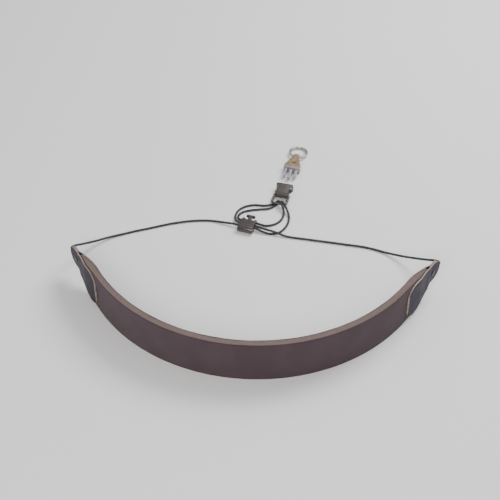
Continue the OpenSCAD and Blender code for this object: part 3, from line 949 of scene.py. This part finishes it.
# %% Material helper
def finish(name, dark, light, rough, bump, grain_scale=4000, blotch_scale=120, coords="Object", metal=0.0):
    """A material with two tones, a roughness range and a grain's bump.

    Returns the material, its tree, its shader, the place's vector, the blotches
    and the bump node."""
    material = bpy.data.materials.get(name) or bpy.data.materials.new(name)
    material.use_nodes = True
    tree = material.node_tree
    shader = tree.nodes["Principled BSDF"]
    shader.inputs["Metallic"].default_value = metal
    place = tree.nodes.new("ShaderNodeTexCoord").outputs[coords]
    texture = tree.nodes.new("ShaderNodeGroup")
    texture.node_tree = grain
    texture.inputs["Grain Scale"].default_value = grain_scale
    texture.inputs["Blotch Scale"].default_value = blotch_scale
    tree.links.new(place, texture.inputs["Vector"])
    tone = tree.nodes.new("ShaderNodeMix")
    tone.data_type = "RGBA"
    tone.inputs["A"].default_value = (*dark, 1)
    tone.inputs["B"].default_value = (*light, 1)
    tree.links.new(texture.outputs["Blotches"], tone.inputs["Factor"])
    tree.links.new(tone.outputs["Result"], shader.inputs["Base Color"])
    spread = tree.nodes.new("ShaderNodeMapRange")
    spread.inputs["To Min"].default_value = rough[0]
    spread.inputs["To Max"].default_value = rough[1]
    tree.links.new(texture.outputs["Blotches"], spread.inputs["Value"])
    tree.links.new(spread.outputs["Result"], shader.inputs["Roughness"])
    relief = tree.nodes.new("ShaderNodeBump")
    relief.inputs["Strength"].default_value = bump[0]
    relief.inputs["Distance"].default_value = bump[1]
    tree.links.new(texture.outputs["Height"], relief.inputs["Height"])
    tree.links.new(relief.outputs["Normal"], shader.inputs["Normal"])
    return material, tree, shader, place, tone, relief


print("finish helper ready")

# %% [markdown]
# The knit faces are a dark plum brown with a slight sheen. The loops' height comes from the UV map, so the
# rows follow the bend, and the height also paints shade: the valleys between the ribs are painted darker and
# the rib tops a little lighter.

# %% Knit and foam
knit, tree, shader, place, tone, relief = finish(
    "knit", (0.066, 0.042, 0.053), (0.082, 0.054, 0.066), (0.82, 0.94), (0.9, 0.12 * MM), blotch_scale=60
)
shader.inputs["Sheen Weight"].default_value = 0.08
shader.inputs["Sheen Roughness"].default_value = 0.45
shader.inputs["Specular IOR Level"].default_value = 0.25
uv_place = tree.nodes.new("ShaderNodeTexCoord").outputs["UV"]
loops = tree.nodes.new("ShaderNodeGroup")
loops.node_tree = knit_loops
tree.links.new(uv_place, loops.inputs["Vector"])
tree.links.new(loops.outputs["Height"], relief.inputs["Height"])
# Painted shade: the loops' height darkens the valleys between the ribs and lightens the rib tops a little.
painted_valley_shade = tree.nodes.new("ShaderNodeMix")
painted_valley_shade.data_type = "RGBA"
painted_valley_shade.blend_type = "MULTIPLY"
painted_valley_shade.inputs["Factor"].default_value = 1.0
shade = tree.nodes.new("ShaderNodeMapRange")
shade.inputs["To Min"].default_value = 0.62
shade.inputs["To Max"].default_value = 1.12
tree.links.new(loops.outputs["Height"], shade.inputs["Value"])
tree.links.new(tone.outputs["Result"], painted_valley_shade.inputs["A"])
tree.links.new(shade.outputs["Result"], painted_valley_shade.inputs["B"])
tree.links.new(painted_valley_shade.outputs["Result"], shader.inputs["Base Color"])

foam_rubber, tree, shader, place, tone, relief = finish(
    "foam_rubber", (0.122, 0.092, 0.088), (0.138, 0.106, 0.100), (0.85, 0.95), (0.7, 0.08 * MM), 3200, 420
)
shader.inputs["Specular IOR Level"].default_value = 0.2
cells = tree.nodes.new("ShaderNodeTexVoronoi")
cells.inputs["Scale"].default_value = 2600
tree.links.new(place, cells.inputs["Vector"])
tree.links.new(cells.outputs["Distance"], relief.inputs["Height"])
print("materials:", knit.name, foam_rubber.name)

# %% [markdown]
# The leaves are smooth leather, almost black with a plum cast, dull on their
# faces and pale and fibrous on their cut edges. The grain is a pebbled cell
# pattern with a finer uneven grain over it, and the shine is broken by both.

# %% Leather
leather, tree, shader, place, tone, relief = finish(
    "tab_leather", (0.020, 0.014, 0.030), (0.030, 0.022, 0.043), (0.58, 0.70), (0.35, 0.10 * MM), 1800, 90
)
shader.inputs["Specular IOR Level"].default_value = 0.3
pebbles = tree.nodes.new("ShaderNodeTexVoronoi")
pebbles.feature = "SMOOTH_F1"
pebbles.inputs["Scale"].default_value = 1100
pebbles.inputs["Smoothness"].default_value = 0.6
tree.links.new(place, pebbles.inputs["Vector"])
fine = noise(tree, place, 2600, 3.0)
both = math_node(tree, "ADD", pebbles.outputs["Distance"], math_node(tree, "MULTIPLY", fine, 0.5))
tree.links.new(both, relief.inputs["Height"])

raw_edge, tree, shader, place, tone, relief = finish(
    "raw_leather_edge", (0.230, 0.180, 0.155), (0.330, 0.270, 0.240), (0.8, 0.95), (0.8, 0.08 * MM), 3800, 420
)
print("materials:", leather.name, raw_edge.name)

# %% [markdown]
# The cord is a fine dark braid with a cold, dull shine. Its strands are true relief already, and the material
# adds the fibres inside each strand, from the UV map, so that they run round the cord at the braid's own
# slant. The colour also follows the strands: painted shade darkens the grooves between them, and their tops
# are painted lighter.

# %% Cord and thread
cord_braid, tree, shader, place, tone, relief = finish(
    "cord_braid", (0.009, 0.010, 0.016), (0.020, 0.022, 0.032), (0.6, 0.8), (0.6, 0.05 * MM), 5200, 700
)
shader.inputs["Sheen Weight"].default_value = 0.08
uv_parts = tree.nodes.new("ShaderNodeSeparateXYZ")
tree.links.new(tree.nodes.new("ShaderNodeTexCoord").outputs["UV"], uv_parts.inputs[0])
lead_turns = math_node(tree, "DIVIDE", uv_parts.outputs["X"], BRAID_LEAD / MM)
half_strands = BRAID_STRANDS / 2
waves = []
for sign in ("ADD", "SUBTRACT"):
    slanted = math_node(tree, sign, uv_parts.outputs["Y"], lead_turns)
    waves.append(math_node(tree, "COSINE", math_node(tree, "MULTIPLY", slanted, 2 * math.pi * half_strands)))
strands = math_node(tree, "MAXIMUM", waves[0], waves[1])
fibres = math_node(tree, "MULTIPLY", noise(tree, place, 5200, 3.0), 0.5)
tree.links.new(math_node(tree, "ADD", strands, fibres), relief.inputs["Height"])
# Painted shade: the strand height moves the colour from dark in the grooves to lighter on the strands' tops.
tree.links.new(ramp(tree, strands, 0.0, 1.0), tone.inputs["Factor"])

thread, tree, shader, place, tone, relief = finish(
    "thread", (0.020, 0.020, 0.024), (0.036, 0.036, 0.044), (0.45, 0.62), (0.5, 0.04 * MM), 6000, 900
)
print("materials:", cord_braid.name, thread.name)

# %% [markdown]
# The lock is glossy dark plastic, and the socket a slightly browner and duller one. The plug is a tan
# moulding, and its prongs carry a painted reflection, a silvery blue-grey, so its colour follows the place
# along its slide. Handling leaves all three with a faint haze, so a slow mask moves their roughness, and the
# coat on top stays plain.

# %% Plastics
lock_plastic, tree, shader, place, tone, relief = finish(
    "lock_plastic", (0.030, 0.024, 0.024), (0.038, 0.030, 0.029), (0.24, 0.36), (0.10, 0.05 * MM), 2400, 260
)
shader.inputs["Coat Weight"].default_value = 0.35
shader.inputs["Coat Roughness"].default_value = 0.22

socket_plastic, tree, shader, place, tone, relief = finish(
    "socket_plastic", (0.040, 0.033, 0.032), (0.050, 0.041, 0.039), (0.36, 0.52), (0.14, 0.05 * MM), 2400, 300
)
shader.inputs["Coat Weight"].default_value = 0.25
shader.inputs["Coat Roughness"].default_value = 0.25

plug_plastic, tree, shader, place, tone, relief = finish(
    "plug_plastic", (0.21, 0.155, 0.085), (0.26, 0.20, 0.12), (0.28, 0.42), (0.12, 0.05 * MM),
    2200, 240, metal=0.35
)
shader.inputs["Coat Weight"].default_value = 0.3
shader.inputs["Coat Roughness"].default_value = 0.2
# Painted reflection: the prongs take a silvery blue-grey in place of the tan, up to where the tan begins.
PRONG_REFLECTION_TONE = (0.30, 0.30, 0.34, 1)
PRONG_REFLECTION_TO = 11 * MM
TAN_FROM = 18 * MM
plug_way = np.array(next(j for j in frame["joints"] if j["name"] == "plug_slide")["axis"], float)
plug_parts = tree.nodes.new("ShaderNodeSeparateXYZ")
tree.links.new(place, plug_parts.inputs[0])
along_x = math_node(tree, "MULTIPLY", plug_parts.outputs["X"], float(plug_way[0]))
along_y = math_node(tree, "MULTIPLY", plug_parts.outputs["Y"], float(plug_way[1]))
plug_start = min(float(np.dot(c, plug_way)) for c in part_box("buckle_plug"))
prong_reflection = tree.nodes.new("ShaderNodeMix")
prong_reflection.data_type = "RGBA"
prong_reflection.inputs["A"].default_value = PRONG_REFLECTION_TONE
tree.links.new(tone.outputs["Result"], prong_reflection.inputs["B"])
far_along = math_node(tree, "ADD", along_x, along_y)
tan_part = ramp(tree, far_along, plug_start + PRONG_REFLECTION_TO, plug_start + TAN_FROM)
tree.links.new(tan_part, prong_reflection.inputs["Factor"])
tree.links.new(prong_reflection.outputs["Result"], shader.inputs["Base Color"])
print("materials:", lock_plastic.name, socket_plastic.name, plug_plastic.name)

# %% [markdown]
# The ring and the spring are nickel plated steel, dulled by handling, with a
# fine uneven grain. The rivets are lacquered dark, and the lacquer is worn in small
# spots, where the brown metal under it shows.

# %% Metals
nickel, tree, shader, place, tone, relief = finish(
    "nickel_steel", (0.36, 0.35, 0.34), (0.52, 0.51, 0.50), (0.14, 0.30), (0.08, 0.03 * MM),
    3000, 500, metal=1.0
)
lacquer, tree, shader, place, tone, relief = finish(
    "rivet_lacquer", (0.026, 0.017, 0.018), (0.062, 0.036, 0.032), (0.30, 0.50), (0.25, 0.04 * MM),
    3200, 700, metal=0.6
)
print("materials:", nickel.name, lacquer.name)

# %% [markdown]
# Each piece now gets its material. A leaf has two: its face, and the raw edge
# that its loft marked as the second one.

# %% Assign materials
def paint(piece, *materials):
    """Sets a piece's materials in order, and keeps which of them each face takes."""
    part_of = [face.material_index for face in piece.data.polygons]
    piece.data.materials.clear()
    for material in materials:
        piece.data.materials.append(material)
    piece.data.polygons.foreach_set("material_index", [min(k, len(materials) - 1) for k in part_of])


paint(cord, cord_braid)
paint(foam, foam_rubber)
for piece in knit_faces:
    paint(piece, knit)
for piece in leaves:
    paint(piece, leather, raw_edge)
for piece in seams:
    paint(piece, thread)
for piece in rivets:
    paint(piece, lacquer)
paint(lock_shell, lock_plastic)
paint(lock_button, lock_plastic)
paint(socket, socket_plastic)
paint(plug, plug_plastic)
paint(spring, nickel)
paint(key_ring, nickel)

# %% [markdown]
# The strap lies on a plain pale floor. One large soft light stands high behind
# it on the right, so shadows fall towards the front left. A weaker warm one
# fills from the front. The sky is pale above and darker near the horizon, which
# gives the metal something to reflect.

# %% Floor and light
floor_mesh = bpy.data.meshes.new("floor")
reach = 4.0
floor_corners = [(x * reach, y * reach, 0) for x, y in ((-1, -1), (1, -1), (1, 1), (-1, 1))]
floor_mesh.from_pydata(floor_corners, [], [(0, 1, 2, 3)])
floor = new_object("floor", floor_mesh)
floor_paint = bpy.data.materials.new("floor_paper")
floor_paint.use_nodes = True
floor_paint.node_tree.nodes["Principled BSDF"].inputs["Base Color"].default_value = (0.72, 0.73, 0.75, 1)
floor_paint.node_tree.nodes["Principled BSDF"].inputs["Roughness"].default_value = 0.9
floor.data.materials.append(floor_paint)


def soft_light(name, place, aim, size, power, tint):
    """A square soft light that points from one place to another."""
    data = bpy.data.lights.new(name, "AREA")
    data.size = size
    data.energy = power
    data.color = tint
    lamp = bpy.data.objects.new(name, data)
    lamp.location = place
    lamp.rotation_euler = (Vector(aim) - Vector(place)).to_track_quat("-Z", "Y").to_euler()
    bpy.context.scene.collection.objects.link(lamp)


soft_light("key", (0.55, 0.55, 0.95), (0, 0, 0), 0.6, 16, (1.0, 0.97, 0.93))
soft_light("fill", (-0.15, -0.9, 0.75), (0, 0, 0), 0.45, 8, (1.0, 0.93, 0.84))
world = bpy.data.worlds.new("soft_sky")
bpy.context.scene.world = world
world.use_nodes = True
sky = world.node_tree
height = sky.nodes.new("ShaderNodeSeparateXYZ")
sky.links.new(sky.nodes.new("ShaderNodeTexCoord").outputs["Generated"], height.inputs[0])
shade = sky.nodes.new("ShaderNodeMix")
shade.data_type = "RGBA"
shade.inputs["A"].default_value = (0.16, 0.18, 0.24, 1)
shade.inputs["B"].default_value = (1.0, 1.0, 1.0, 1)
sky.links.new(ramp(sky, height.outputs["Z"], 0.05, 0.85), shade.inputs["Factor"])
sky.links.new(shade.outputs["Result"], sky.nodes["Background"].inputs["Color"])
sky.nodes["Background"].inputs["Strength"].default_value = 0.8
